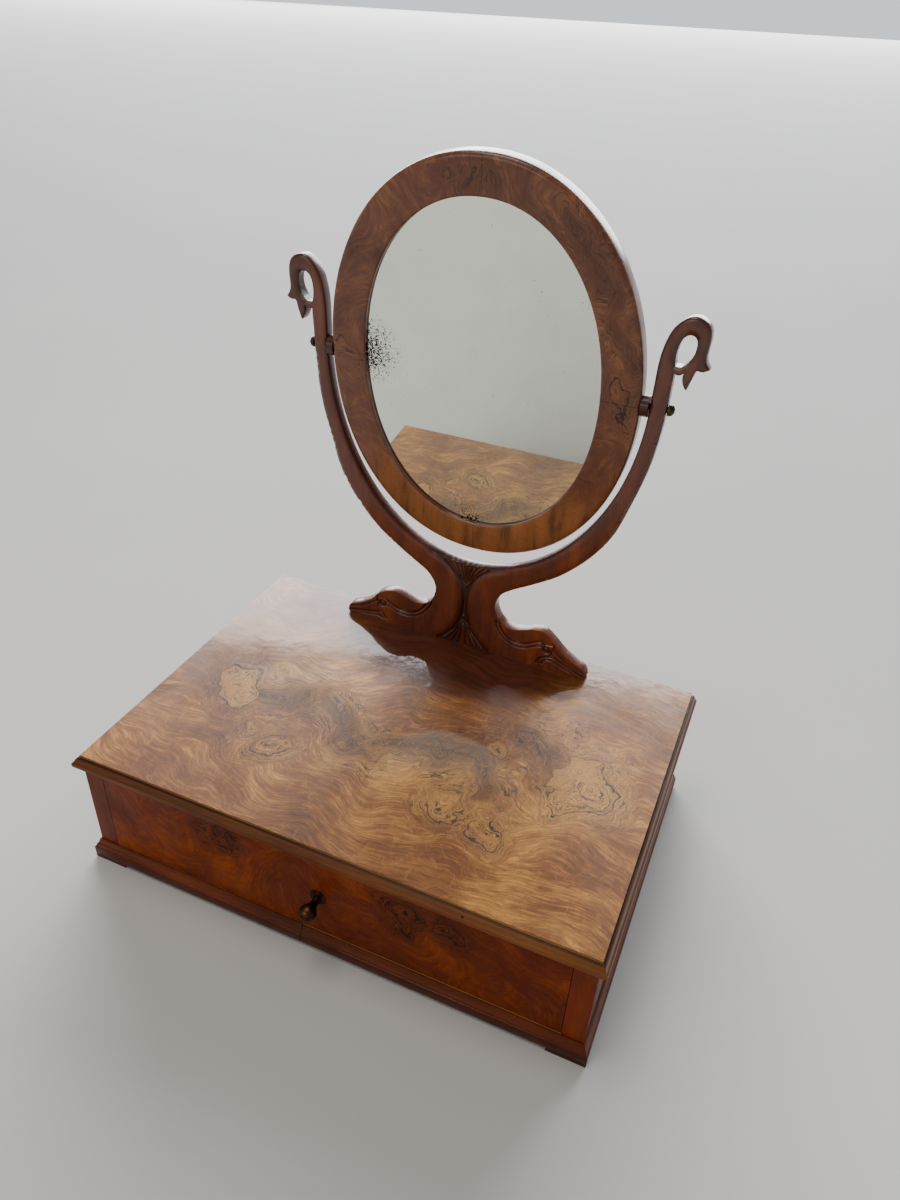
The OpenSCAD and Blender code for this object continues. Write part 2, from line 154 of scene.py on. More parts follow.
# ---- node helpers ----
class Tree:
    """Short way to build a material's nodes."""

    def __init__(self, name):
        self.mat = bpy.data.materials.new(name)
        self.mat.use_nodes = True
        self.nodes = self.mat.node_tree.nodes
        self.links = self.mat.node_tree.links
        self.bsdf = self.nodes["Principled BSDF"]
        self.coord = self.add("ShaderNodeTexCoord").outputs["Object"]

    def add(self, kind, **props):
        n = self.nodes.new(kind)
        for k, v in props.items():
            setattr(n, k, v)
        return n

    def put(self, socket, value):
        if isinstance(value, bpy.types.NodeSocket):
            self.links.new(value, socket)
        else:
            socket.default_value = value

    def math(self, op, a, b=0.0, c=None, clamp=False):
        n = self.add("ShaderNodeMath", operation=op, use_clamp=clamp)
        self.put(n.inputs[0], a)
        self.put(n.inputs[1], b)
        if c is not None:
            self.put(n.inputs[2], c)
        return n.outputs[0]

    def vec(self, op, a, b=(0, 0, 0), scale=None):
        n = self.add("ShaderNodeVectorMath", operation=op)
        self.put(n.inputs[0], a)
        self.put(n.inputs[1], b)
        if scale is not None:
            self.put(n.inputs["Scale"], scale)
        return n.outputs["Value"] if op in ("LENGTH", "DISTANCE", "DOT_PRODUCT") else n.outputs[0]

    def xyz(self, v):
        n = self.add("ShaderNodeSeparateXYZ")
        self.put(n.inputs[0], v)
        return n.outputs

    def join(self, x, y, z):
        n = self.add("ShaderNodeCombineXYZ")
        for s, v in zip(n.inputs, (x, y, z)):
            self.put(s, v)
        return n.outputs[0]

    def noise(self, v, scale, detail=4.0, rough=0.5, distort=0.0, color=False):
        n = self.add("ShaderNodeTexNoise")
        sockets = ("Vector", "Scale", "Detail", "Roughness", "Distortion")
        for socket, value in zip(sockets, (v, scale, detail, rough, distort)):
            self.put(n.inputs[socket], value)
        return n.outputs["Color" if color else "Fac"]

    def span(self, v, lo, hi, out_lo=0.0, out_hi=1.0):
        """Smooth step from out_lo to out_hi as v goes from lo to hi."""
        n = self.add("ShaderNodeMapRange", interpolation_type="SMOOTHSTEP")
        for s, x in zip(n.inputs, (v, lo, hi, out_lo, out_hi)):
            self.put(s, x)
        return n.outputs[0]

    def mix(self, fac, a, b):
        n = self.add("ShaderNodeMix", data_type="RGBA", blend_type="MIX")
        self.put(n.inputs["Factor"], fac)
        self.put(n.inputs["A"], a)
        self.put(n.inputs["B"], b)
        return n.outputs["Result"]

    def ramp(self, fac, stops):
        n = self.add("ShaderNodeValToRGB")
        self.put(n.inputs[0], fac)
        el = n.color_ramp.elements
        while len(el) < len(stops):
            el.new(0.5)
        for e, (pos, col) in zip(el, stops):
            e.position = pos
            e.color = (*col, 1)
        return n.outputs[0]

    def warp(self, v, scale, amount, detail=3.0):
        """Coordinates pushed about by noise; amount in metres."""
        n = self.noise(v, scale, detail, color=True)
        n = self.vec("SUBTRACT", n, (0.5, 0.5, 0.5))
        n = self.vec("SCALE", n, scale=amount * 2)
        return self.vec("ADD", v, n)

    def stretch(self, v, factors):
        return self.vec("MULTIPLY", v, factors)

    def weigh(self, *layers):
        """Sum of layers, each given with its weight."""
        total = self.math("MULTIPLY", *layers[0])
        for layer, weight in layers[1:]:
            total = self.math("MULTIPLY_ADD", layer, weight, total)
        return total

    def melt(self, a, b, blend):
        """The smaller of two distances with a soft join; a may be None."""
        return b if a is None else self.math("SMOOTH_MIN", a, b, blend)

    def bump(self, height, distance, strength):
        n = self.add("ShaderNodeBump")
        self.put(n.inputs["Height"], height)
        n.inputs["Distance"].default_value = distance
        n.inputs["Strength"].default_value = strength
        return n.outputs[0]

    def finish(self, color, rough, normal=None, **values):
        """Colour, roughness and bump into the shader, and constants on its own sockets."""
        self.put(self.bsdf.inputs["Base Color"], color)
        self.put(self.bsdf.inputs["Roughness"], rough)
        if normal is not None:
            self.put(self.bsdf.inputs["Normal"], normal)
        for k, v in values.items():
            self.bsdf.inputs[k.replace("_", " ")].default_value = v
        return self.mat


def rgb(r, g, b):
    """Linear colour from 0-255 display values."""
    return tuple(((c / 255 + 0.055) / 1.055) ** 2.4 if c > 10 else c / 255 / 12.92 for c in (r, g, b))


def rgba(r, g, b):
    return (*rgb(r, g, b), 1.0)


def shade(color, gain=1.0):
    """A linear colour made darker or lighter, as the four values that a socket takes."""
    return (*[c * gain for c in color], 1)


def plain_wood(name, tones, grain, gloss, coat, carving_shade=0.0, spec=0.3, shadow_line_from=None, cool=None,
               hole=None, flank=None, shaded_below=None):
    """Straight-grained wood. tones: dark, middle and light, 0-255; grain: stretch of the pattern by axis;
    carving_shade is the strength of painted shade in the grooves, creases and rounded edges of a carved
    piece;
    shadow_line_from is a height above which a painted shadow line blackens the wood;
    cool: heights where a greyer colour begins and is full, and the colour; hole: place of a worm hole;
    flank: distance from the middle past which the wood takes a second colour, and that colour;
    shaded_below: a height below which painted shade darkens the wood."""
    t = Tree(name)
    dark, mid, light = (rgb(*tone) for tone in tones)
    x, _, z = t.xyz(t.coord)
    bent = t.warp(t.coord, 7.0, 0.006)
    g = t.stretch(bent, grain)
    bands = t.noise(g, 34.0, 5.0, 0.55, 0.6)
    fibres = t.noise(g, 190.0, 3.0, 0.6)
    pores = t.noise(t.stretch(bent, tuple(k * 1.7 for k in grain)), 620.0, 2.0, 0.6)
    cloud = t.noise(t.coord, 9.0, 3.0, 0.6)
    tone = t.math("ADD", t.math("MULTIPLY", bands, 0.62), t.math("MULTIPLY", cloud, 0.38))
    color = t.ramp(tone, [(0.30, dark), (0.50, mid), (0.70, light)])
    color = t.mix(t.span(fibres, 0.44, 0.66, 0.0, 0.35), color, shade(dark))
    pit = t.span(pores, 0.58, 0.72)
    color = t.mix(t.math("MULTIPLY", pit, 0.45), color, shade(dark, 0.45))
    # a painted shadow line: the wood just under the top veneer's overhang is blackened
    if shadow_line_from:
        color = t.mix(t.span(z, shadow_line_from, shadow_line_from + 1.2 * MM, 0.0, 0.85), color, shade(dark, 0.2))
    # painted shade on the upright fascia at the foot of the moulding
    if shaded_below:
        color = t.mix(t.span(z, shaded_below - 0.4 * MM, shaded_below, 0.5, 0.0), color, shade(dark, 0.35))
    if flank:
        edge, paint = flank
        out = t.span(t.math("ABSOLUTE", x), edge - 0.6 * MM, edge - 0.2 * MM)
        color = t.mix(out, color, t.mix(t.span(bands, 0.35, 0.65), shade(paint, 0.6), shade(paint)))
    if hole:
        bored = t.span(t.vec("DISTANCE", t.coord, hole), 0.8 * MM, 1.3 * MM, 1.0, 0.0)
        pit = t.math("MAXIMUM", pit, bored)
        color = t.mix(bored, color, (0.004, 0.002, 0.001, 1))
    if cool:
        start, full, paint = cool
        greyer = t.mix(t.span(bands, 0.4, 0.6), shade(paint, 0.55), shade(paint))
        color = t.mix(t.span(z, start, full, 0.0, 0.55), color, greyer)
    # painted shade in the carving's grooves, creases and rounded edges, read per vertex from the mesh
    if carving_shade:
        low = t.add("ShaderNodeAttribute", attribute_name="carving_shade_map").outputs["Fac"]
        color = t.mix(t.math("MULTIPLY", low, carving_shade), color, shade(dark, 0.16))
    rough = t.span(t.noise(t.coord, 42.0, 4.0, 0.6), 0.3, 0.7, gloss - 0.06, gloss + 0.1)
    n = t.bump(t.math("SUBTRACT", fibres, pit), 0.10 * MM, 0.5)
    if coat:
        t.put(t.bsdf.inputs["Coat Normal"], t.bump(t.noise(t.coord, 70.0, 3.0), 0.12 * MM, 0.5))
        t.put(t.bsdf.inputs["Coat Roughness"], t.span(cloud, 0.35, 0.7, 0.09, 0.2))
    return t.finish(color, rough, n, Coat_Weight=coat, Specular_IOR_Level=spec)


# a knot wider than this is a pale island with a dark rim; a smaller one has a dark pupil
ISLAND_R = 0.019


def knot_marks(t, knots, at, hill):
    """Distance field of the knots, the hill they raise in the grain, their pale islands and dark pupils."""
    field, pale, pupil = None, 0.0, 0.0
    for group in knots:
        q = None
        for u, v, r in group:
            q = t.melt(q, t.math("DIVIDE", t.vec("DISTANCE", at, (u, v, 0.0)), r), 0.35)
        hill = t.math("MULTIPLY_ADD", t.span(q, 0.0, 2.0, 1.0, 0.0), 0.85, hill)
        if group[0][2] > ISLAND_R:
            pale = t.math("MAXIMUM", pale, t.span(q, 0.78, 0.95, 1.0, 0.0))
        else:
            pale = t.math("MAXIMUM", pale, t.span(q, 0.5, 0.9, 0.7, 0.0))
            pupil = t.math("MAXIMUM", pupil, t.span(q, 0.10, 0.34, 1.0, 0.0))
        field = t.melt(field, q, 0.5)
    return field, hill, pale, pupil


def band_marks(t, bands, at, hill):
    """Distance field of the smoky bands, the hill they raise in the grain, and their smoke."""
    trail, smoke = None, 0.0
    for u0, v0, u1, v1, r in bands:
        du, dv = u1 - u0, v1 - v0
        size = du * du + dv * dv
        rel = t.vec("SUBTRACT", at, (u0, v0, 0.0))
        along = t.math("MULTIPLY", t.vec("DOT_PRODUCT", rel, (du / size, dv / size, 0.0)), 1.0, clamp=True)
        d = t.vec("DISTANCE", rel, t.vec("SCALE", (du, dv, 0.0), scale=along))
        bell = t.span(d, 0.0, r, 1.0, 0.0)
        hill = t.math("MULTIPLY_ADD", bell, 0.8, hill)
        smoke = t.math("MAXIMUM", smoke, bell)
        trail = t.melt(trail, t.math("MULTIPLY_ADD", d, 0.9 / r, 0.45), 0.4)
    return trail, hill, smoke


def burr(name, tones, knots, bands, up, scale=1.0, gloss=0.45, coat=0.7, shine=0.06, lines=1.0, deep=None,
         run=4.5, spec=0.25, foot=None, seams=False, stain=0.0):
    """Burr veneer. tones: dark, middle, light, ink and wine red, 0-255; knots: lists of (u, v, radius) that
    melt together; bands: (u0, v0, u1, v1, radius); deep: (u, v, radius) of a darker red field, partly the
    veneer's own colour and partly a painted reflection and shadow of the stand; in metres.
    up names the axis square to the sheet; run is how fast the grain goes across it; lines is the strength
    of the dark veins; shine is the polish's roughness; foot: heights between which straight golden grain
    takes over; seams: dark joints between four quarters; stain: darkening round the knots."""
    t = Tree(name)
    dark, mid, light, ink, wine = (rgb(*tone) for tone in tones)
    x, y, z = t.xyz(t.coord)
    flat = t.join(x, y if up == "z" else z, 0.0)
    w1 = t.warp(flat, 8.5 / scale, 0.018 * scale)
    w2 = t.warp(w1, 26.0 / scale, 0.024 * scale)
    w3 = t.warp(w2, 90.0 / scale, 0.0065 * scale, 4.0)
    u, v, _ = t.xyz(w1)
    core, hill, pale, pupil = knot_marks(t, knots, w3, t.noise(w1, 5.0 / scale, 2.5))
    trail, hill, smoke = band_marks(t, bands, w2, hill)
    field = core if trail is None else t.melt(core, trail, 0.4)
    near = t.math("MAXIMUM", t.span(field, 0.85, 2.5, 1.0, 0.0), smoke)
    broken = t.span(t.noise(t.vec("ADD", w2, (0.2, 0.9, 0.4)), 30.0 / scale, 3.0), 0.40, 0.56)

    # grain that runs with the sheet and bends round knots and bands
    lean = t.math("MULTIPLY_ADD", v, run / scale, hill)

    def along_grain(pace, spread, rough):
        flow = t.join(t.math("MULTIPLY", lean, pace), t.math("MULTIPLY", u, spread / scale),
                      t.math("MULTIPLY", v, spread / scale))
        return t.noise(flow, 1.0, 4.0, rough)

    broad = along_grain(13.0, 9.0, 0.55)
    figure = along_grain(34.0, 21.0, 0.6)
    fine = along_grain(130.0, 62.0, 0.65)
    cloud = t.noise(w1, 9.0 / scale, 4.0, 0.6)
    blush = t.noise(t.vec("ADD", w1, (0.7, 0.3, 0.2)), 6.5 / scale, 2.0)
    tone = t.weigh((cloud, 0.40), (broad, 0.14), (figure, 0.16), (fine, 0.30), (pale, 0.08), (near, 0.02))
    color = t.ramp(tone, [(0.38, dark), (0.49, mid), (0.60, light)])
    color = t.mix(t.span(blush, 0.50, 0.66, 0.0, 0.55), color, shade(wine))
    calm = 1.0
    # the darker red field is partly the veneer's own colour and partly a painted reflection and shadow of
    # the stand
    if deep:
        at_u, at_v, r = deep
        d = t.vec("DISTANCE", t.stretch(w1, (1.0, 1.9, 1.0)), (at_u, at_v * 1.9, 0.0))
        calm = t.span(d, r * 0.5, r)
        color = t.mix(calm, t.mix(t.span(figure, 0.35, 0.65), shade(wine, 0.42), shade(wine, 0.9)), color)
    color = t.mix(t.math("MULTIPLY", pale, t.span(fine, 0.36, 0.62, 0.12, 0.62)), color, shade(light))
    if stain:
        halo = t.math("MULTIPLY", t.span(core, 0.4, 2.4, stain, 0.0), t.span(figure, 0.38, 0.58, 1.0, 0.25))
        color = t.mix(halo, color, shade(ink))
    # smoky grey along the bands
    haze = t.math("MULTIPLY_ADD", figure, 0.6, t.math("MULTIPLY", fine, 0.4))
    grey = t.math("MULTIPLY", smoke, t.span(haze, 0.40, 0.58, 0.02, 0.95 * lines))
    color = t.mix(grey, color, (*[0.7 * i + 0.3 * m for i, m in zip(ink, mid)], 1))

    # thin dark veins along the grain, gathered round knots and bands
    thin = t.span(t.math("ABSOLUTE", t.math("SUBTRACT", fine, 0.5)), 0.004, 0.05, 1.0, 0.0)
    drawn = t.math("MULTIPLY", thin, t.math("MULTIPLY_ADD", near, 0.45 * lines, 0.16))
    color = t.mix(drawn, color, shade(dark))
    wave = t.math("PINGPONG", t.math("MULTIPLY", broad, 9.0), 0.5)
    vein = t.math("MULTIPLY", t.span(wave, 0.012, 0.12, 1.0, 0.0), t.math("MULTIPLY_ADD", near, 0.9, 0.05))
    # rings round the knots, ragged and broken, the dark rim of each knot, and its pupil
    ring_at = t.math("PINGPONG", t.math("MULTIPLY_ADD", figure, 1.5, t.math("MULTIPLY", field, 3.4)), 0.5)
    ring = t.math("MULTIPLY", t.span(ring_at, 0.012, 0.10, 1.0, 0.0), t.span(field, 0.8, 2.3, 1.0, 0.0))
    rim = t.span(t.math("ABSOLUTE", t.math("SUBTRACT", core, 0.93)), 0.015, 0.07, 1.0, 0.0)
    seen = t.math("MULTIPLY_ADD", broken, 0.72 * lines, 0.24 * lines)
    for mark, strength in ((vein, seen), (ring, seen), (rim, t.math("MULTIPLY_ADD", broken, 0.6, 0.3)),
                           (pupil, 0.9)):
        color = t.mix(t.math("MULTIPLY", mark, strength), color, shade(ink))

    if foot:
        straight = t.noise(t.stretch(t.warp(flat, 8.0, 0.012), (1.0, 0.13, 1.0)), 75.0, 4.0, 0.6)
        gold = [[k * c for k, c in zip(gain, light)] for gain in ((0.95, 0.85, 0.7), (1.35, 1.2, 0.9))]
        stripe = t.ramp(straight, [(0.30, dark), (0.45, gold[0]), (0.66, gold[1])])
        color = t.mix(t.span(v, foot[0], foot[1], 0.0, 0.88), color, stripe)
    if seams:
        seam = t.math("MINIMUM", t.math("ABSOLUTE", x), t.math("ABSOLUTE", t.math("SUBTRACT", z, PIVOT.z)))
        color = t.mix(t.span(seam, 0.0, 0.5 * MM, 0.8, 0.0), color, shade(ink))
    # cross grain, glints and pores over everything
    grain = t.noise(t.stretch(w3, (1.0, 5.0, 1.0)), 130.0, 4.0, 0.65)
    color = t.mix(t.span(grain, 0.46, 0.72, 0.0, 0.30), color, shade(dark))
    glint = t.noise(t.stretch(t.vec("ADD", w2, (0.5, 0.1, 0.3)), (4.5, 1.0, 1.0)), 70.0, 3.0, 0.6)
    color = t.mix(t.math("MULTIPLY", t.span(glint, 0.52, 0.78, 0.0, 0.26), calm), color, shade(light))
    pores = t.span(t.noise(t.stretch(w3, (1.0, 2.5, 1.0)), 900.0, 2.0), 0.62, 0.74)
    color = t.mix(t.math("MULTIPLY", pores, 0.4), color, shade(ink))
    # hairline scratches in the polish
    scratch = t.noise(t.stretch(t.warp(flat, 3.0, 0.02), (1.0, 22.0, 1.0)), 26.0, 2.0, 0.4)
    marks = t.math("MULTIPLY", t.span(scratch, 0.70, 0.74), t.span(t.noise(flat, 11.0, 2.0), 0.55, 0.7))
    color = t.mix(t.math("MULTIPLY", marks, 0.35), color, (*[min(1, c * 1.8) for c in light], 1))

    rough = t.span(t.noise(flat, 26.0, 5.0, 0.65), 0.3, 0.72, gloss - 0.05, gloss + 0.12)
    n = t.bump(t.math("SUBTRACT", grain, t.math("ADD", pores, vein)), 0.10 * MM, 0.6)
    polish = t.span(t.noise(flat, 17.0, 5.0, 0.6), 0.35, 0.72, shine, shine + 0.09)
    t.put(t.bsdf.inputs["Coat Roughness"], t.math("ADD", polish, t.math("MULTIPLY", marks, 0.2)))
    t.put(t.bsdf.inputs["Coat Normal"], t.bump(t.noise(w1, 60.0, 3.0), 0.20 * MM, 0.5))
    return t.finish(color, rough, n, Coat_Weight=coat, Specular_IOR_Level=spec)


# ---- veneers: knots and bands at the places where the photograph shows them ----
def on_top(x, y, r):
    """A mark on the top, from mm in the box frame to metres in the row frame."""
    return x * MM, y * MM + SHIFT_Y, r * MM


def on_front(x, up, r):
    """A mark on the drawer's face, in mm from the middle and from the carcass foot."""
    return x * MM, up * MM + FOOT, r * MM


def on_frame(x, up, r):
    """A mark on the mirror frame, in mm from the middle between the pivots."""
    return x * MM, PIVOT.z + up * MM, r * MM


def band(place, start, end, r):
    """A smoky band of radius r mm between two places."""
    return (*place(*start, 0)[:2], *place(*end, 0)[:2], r * MM)


TOP_TONES = ((74, 41, 15), (138, 83, 31), (207, 147, 66), (22, 16, 12), (96, 43, 18))
TOP_KNOTS = [
    [on_top(-164, -8, 23), on_top(-150, -26, 20)],
    [on_top(161, 6, 24), on_top(176, -14, 24), on_top(160, -27, 15)],
    [on_top(-91, -74, 15), on_top(-80, -66, 9)],
    [on_top(74, -71, 16), on_top(66, -66, 10)],
    [on_top(114, -78, 14), on_top(107, -62, 9)],
    [on_top(82, 11, 13)],
    [on_top(-120, -60, 9)],
    [on_top(-66, 4, 11), on_top(-80, 6, 8)],
    [on_top(150, 56, 9)],
]
TRAIL = [(-124, -20), (-92, 2), (-56, -8), (-34, -40), (-4, -38), (30, -12), (52, -22), (70, -12),
         (100, -42)]
top_bands = [band(on_top, p, q, 21) for p, q in zip(TRAIL[:-1], TRAIL[1:])]
top_bands.append(band(on_top, (98, 34), (132, 16), 22))

FRONT_TONES = ((70, 20, 2), (110, 40, 3), (146, 66, 7), (16, 6, 3), (82, 20, 2))
FRONT_KNOTS = [
    [on_front(-104.6, 82, 9), on_front(-112, 86, 6)],
    [on_front(-88, 86, 10), on_front(-79, 84, 9)],
    [on_front(74, 80, 14), on_front(80, 70, 10)],
    [on_front(110, 80, 11)],
]

FRAME_TONES = ((76, 42, 30), (108, 64, 44), (144, 94, 58), (34, 18, 15), (84, 46, 40))
FRAME_KNOTS = [
    [on_frame(-29, 153, 6)],
    [on_frame(118, 2, 11), on_frame(124, -10, 8)],
    [on_frame(-119, 3, 12)],
]
ARC = [(62, 136), (92, 108), (112, 70), (124, 30)]
frame_bands = [band(on_frame, p, q, 11)
               for p, q in [((0, 172), (-14, 138)), ((0, 172), (12, 138)), *zip(ARC[:-1], ARC[1:])]]

# the top's darker red field near the stand is partly painted reflection and shadow of the stand
burr_top = burr("burr_walnut_top", TOP_TONES, TOP_KNOTS, top_bands, "z", coat=0.6, shine=0.05, lines=1.35,
                deep=on_top(5, 112, 150))
burr_front = burr("burr_walnut_front", FRONT_TONES, FRONT_KNOTS, [], "y", scale=0.8, gloss=0.5, coat=0.05,
                  shine=0.1, lines=1.1, run=1.5, spec=0.12, stain=0.85)
burr_frame = burr("frame_veneer", FRAME_TONES, FRAME_KNOTS, frame_bands, "y", scale=0.95, gloss=0.32,
                  coat=0.3, shine=0.12, lines=0.8, run=0.6, seams=True,
                  foot=(PIVOT.z - 0.06, PIVOT.z - 0.125))

# ---- plain woods: tones, stretch of the grain, gloss, coat ----
walnut = plain_wood("polished_walnut", ((62, 22, 9), (104, 42, 16), (140, 66, 28)), (1, 1, 0.16), 0.34, 0.5)
# the carving's grooves, creases and rounded edges get painted shade
carved = plain_wood("carved_walnut", ((56, 20, 8), (104, 44, 16), (150, 72, 26)), (1, 1, 0.22), 0.34, 0.45,
                    carving_shade=0.9, cool=(0.20, 0.42, rgb(106, 62, 48)))
ebony = plain_wood("dark_boss_wood", ((36, 14, 9), (62, 26, 17), (84, 40, 26)), (0.3, 1, 1), 0.35, 0.2)
stile_wood = plain_wood("stile_walnut", ((80, 24, 3), (116, 42, 5), (142, 62, 12)), (1, 1, 0.10), 0.45,
                        0.05, spec=0.12, flank=(CARC_X, rgb(104, 42, 16)))
TOP_RAIL = ((64, 30, 10), (104, 56, 20), (136, 84, 38))
BASE_RAIL = ((54, 20, 4), (108, 46, 10), (148, 78, 26))
# height above which the top moulding carries a painted shadow line under the veneer's overhang
STEP_SHADOW_Z = TOP_Z - 0.0032
# height below which the base moulding's upright fascia carries painted shade
FASCIA_SHADE_Z = FOOT + 0.0094
WORM_HOLE = (0.1228, FRONT_Y - 0.0045, TOP_Z - 0.0062)
mould_x = plain_wood("moulding_grain_x", TOP_RAIL, (0.06, 1, 1), 0.4, 0.08, spec=0.15, shadow_line_from=STEP_SHADOW_Z,
                     hole=WORM_HOLE)
mould_y = plain_wood("moulding_grain_y", TOP_RAIL, (1, 0.06, 1), 0.34, 0.35, shadow_line_from=STEP_SHADOW_Z)
base_x = plain_wood("base_grain_x", BASE_RAIL, (0.05, 1, 1), 0.36, 0.18, spec=0.15, shaded_below=FASCIA_SHADE_Z)
base_y = plain_wood("base_grain_y", BASE_RAIL, (1, 0.05, 1), 0.34, 0.35, shaded_below=FASCIA_SHADE_Z)
OAK = ((110, 76, 44), (150, 110, 68), (180, 140, 92))
oak_y = plain_wood("drawer_lining_y", OAK, (1, 0.08, 1), 0.55, 0.0)
oak_x = plain_wood("drawer_lining_x", OAK, (0.08, 1, 1), 0.55, 0.0)
pine_x = plain_wood("case_pine_x", ((120, 80, 44), (160, 114, 66), (188, 144, 90)), (0.07, 1, 1), 0.6, 0.0)
pine_z = plain_wood("mirror_back_pine", ((92, 60, 34), (130, 90, 54), (158, 116, 72)), (1, 1, 0.08),
                    0.6, 0.0)


# ---- metals and glass ----
def metal(name, base, dark, rough):
    """Worn metal with dark grime."""
    t = Tree(name)
    wear = t.noise(t.coord, 260.0, 5.0, 0.6)
    grime = t.noise(t.coord, 90.0, 4.0, 0.6)
    color = t.mix(t.span(grime, 0.35, 0.65), dark, base)
    r = t.span(wear, 0.3, 0.7, rough - 0.08, rough + 0.16)
    return t.finish(color, r, t.bump(wear, 0.06 * MM, 0.5), Metallic=1.0)


brass = metal("aged_brass", rgba(90, 60, 34), rgba(34, 22, 15), 0.36)
bronze = metal("darkened_brass", rgba(86, 74, 52), rgba(38, 31, 24), 0.38)
steel = metal("dull_iron", rgba(96, 92, 88), rgba(52, 46, 42), 0.45)


def old_mirror():
    """Silvered glass with black foxing at its left edge and, less, at its lower edge."""
    t = Tree("old_mirror")
    x, _, z = t.xyz(t.coord)
    face = t.join(x, 0.0, z)
    left = t.span(t.vec("DISTANCE", face, (-0.104, 0.0, PIVOT.z + 0.004)), 0.0, 0.052, 1.0, 0.0)
    low = t.span(t.vec("DISTANCE", face, (-0.006, 0.0, PIVOT.z - 0.143)), 0.0, 0.030, 0.85, 0.0)
    rest = t.span(t.noise(t.coord, 14.0, 2.0), 0.60, 0.78, 0.0, 0.32)
    where = t.math("MAXIMUM", t.math("MAXIMUM", left, low), rest)
    specks = t.noise(t.warp(t.coord, 150.0, 0.004), 640.0, 4.0, 0.62)
    speck = t.span(t.math("ADD", specks, t.math("MULTIPLY", where, 0.24)), 0.69, 0.72)
    veil = t.span(t.noise(t.coord, 30.0, 4.0, 0.6), 0.35, 0.75, 0.0, 0.10)
    color = t.mix(veil, rgba(226, 230, 220), rgba(150, 150, 128))
    color = t.mix(speck, color, rgba(14, 13, 11))
    rough = t.math("MULTIPLY_ADD", speck, 0.45, t.math("MULTIPLY", veil, 0.35))
    return t.finish(color, rough, Metallic=1.0)


mirror_mat = old_mirror()

# ---- box: CAD nodes that keep their shape ----
dress(["top_veneer"], burr_top, 0.3)
dress(["drawer_veneer"], burr_front, 0.5)
dress(["top_board", "back_board", "bottom_board", "glue_blocks"], pine_x, 0.5)
dress(["side_left", "side_right"], walnut, 0.5)
dress(["stile_left", "stile_right"], stile_wood, 0.4)
dress(["feet"], base_x, 0.5)
dress(["drawer_front"], pine_x, 0.4)
dress(["drawer_side_left", "drawer_side_right", "drawer_guides"], oak_y, 0.4)
dress(["drawer_back", "drawer_bottom", "drawer_stops"], oak_x, 0.4)
dress(["stand_dowels"], oak_x, 0.3)
dress(["stand_screws", "knob_screw", "back_brads"], steel, 0.0)
dress(["pivot_nut_left", "pivot_nut_right"], brass, 0.2)
dress(["pivot_screw_left", "pivot_screw_right"], bronze, 0.25)
dress(["pivot_boss_left", "pivot_boss_right"], ebony, 0.5)
dress(["mirror_glass"], mirror_mat, 0.0)
dress(["mirror_back"], pine_z, 0.4)


# ---- mouldings: sections go out from the carcass face and up, in mm ----
def top_profile():
    """Section of the top moulding, from the underside of the top board."""
    pts = [(0.5, 0.0), (5.6, 0.0), (6.05, 0.15), (6.3, 0.6), (6.3, 3.5), (6.2, 4.0), (5.95, 4.3)]
    # hollow, then a round shoulder, then the quirk at the veneer
    pts += catmull([(5.95, 4.3), (4.9, 4.9), (4.2, 6.0), (3.6, 7.4), (2.6, 8.5), (1.6, 8.9)], 4)
    pts += [(1.6, 8.9), (1.25, 8.75), (1.05, 8.4), (0.9, 8.3), (0.5, 8.3)]
    return pts


def base_profile():
    """Section of the base moulding, from the top of the feet."""
    pts = [(0.0, 0.0), (5.2, 0.0), (5.5, 0.15), (5.6, 0.5), (5.6, 9.0), (5.45, 9.4), (5.1, 9.6)]
    pts += catmull([(5.1, 9.6), (4.5, 9.9), (4.35, 10.7), (3.9, 12.0), (3.0, 13.2), (2.3, 14.4),
                    (2.0, 15.6), (1.9, 16.4)], 4)
    pts += [(1.9, 16.4), (1.5, 16.6), (1.45, 17.3), (1.2, 17.75), (0.0, 17.8)]
    return pts


WAVE = 0.05 * MM


def uneven(along, pace, out):
    """How far a hand-planed moulding falls short of its section, at a place along and out, in mm."""
    return max(WAVE * math.sin(along * pace + out) * (out / 6.0), 0.0)


def moulding(name, rows, mat):
    verts, faces = loft(rows, closed_rows=False, caps=True)
    make(name, verts, faces, mat, "case", sharp=24)


def front_moulding(name, profile, z0, x0, x1, mat, steps):
    """A length across the front; x0 or x1 None means a mitre at that end."""
    rows = []
    for i in range(steps + 1):
        row = []
        for u, v in profile:
            lo = -(CARC_X + u * MM) if x0 is None else x0
            hi = CARC_X + u * MM if x1 is None else x1
            x = lo + (hi - lo) * i / steps
            row.append((x, FRONT_Y - u * MM + uneven(x, 41, u), z0 + v * MM))
        rows.append(row)
    moulding(name, rows, mat)


def side_moulding(name, profile, z0, sign, mat, steps=60):
    """A length along a side, mitred at the front and cut square at the back."""
    rows = []
    for i in range(steps + 1):
        row = []
        for u, v in profile:
            y0 = FRONT_Y - u * MM
            y = y0 + (BACK_Y - y0) * i / steps
            row.append((sign * (CARC_X + u * MM - uneven(y, 37, u)), y, z0 + v * MM))
        rows.append(row)
    moulding(name, rows, mat)


joint_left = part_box("base_moulding_front_left")[1][0]
joint_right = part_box("base_moulding_front_right")[0][0]
# the right length is a little lower than the left one, as in the photograph
lower = [(u * 0.98, v * 0.955) for u, v in base_profile()]
top, base = (top_profile(), CORE_Z), (base_profile(), FOOT)
front_moulding("top_moulding_front", *top, None, None, mould_x, 80)
side_moulding("top_moulding_left", *top, -1, mould_y)
side_moulding("top_moulding_right", *top, 1, mould_y)
front_moulding("base_moulding_front_left", *base, None, joint_left, base_x, 40)
front_moulding("base_moulding_front_right", lower, FOOT, joint_right, None, base_x, 40)
side_moulding("base_moulding_left", *base, -1, base_y)
side_moulding("base_moulding_right", *base, 1, base_y)


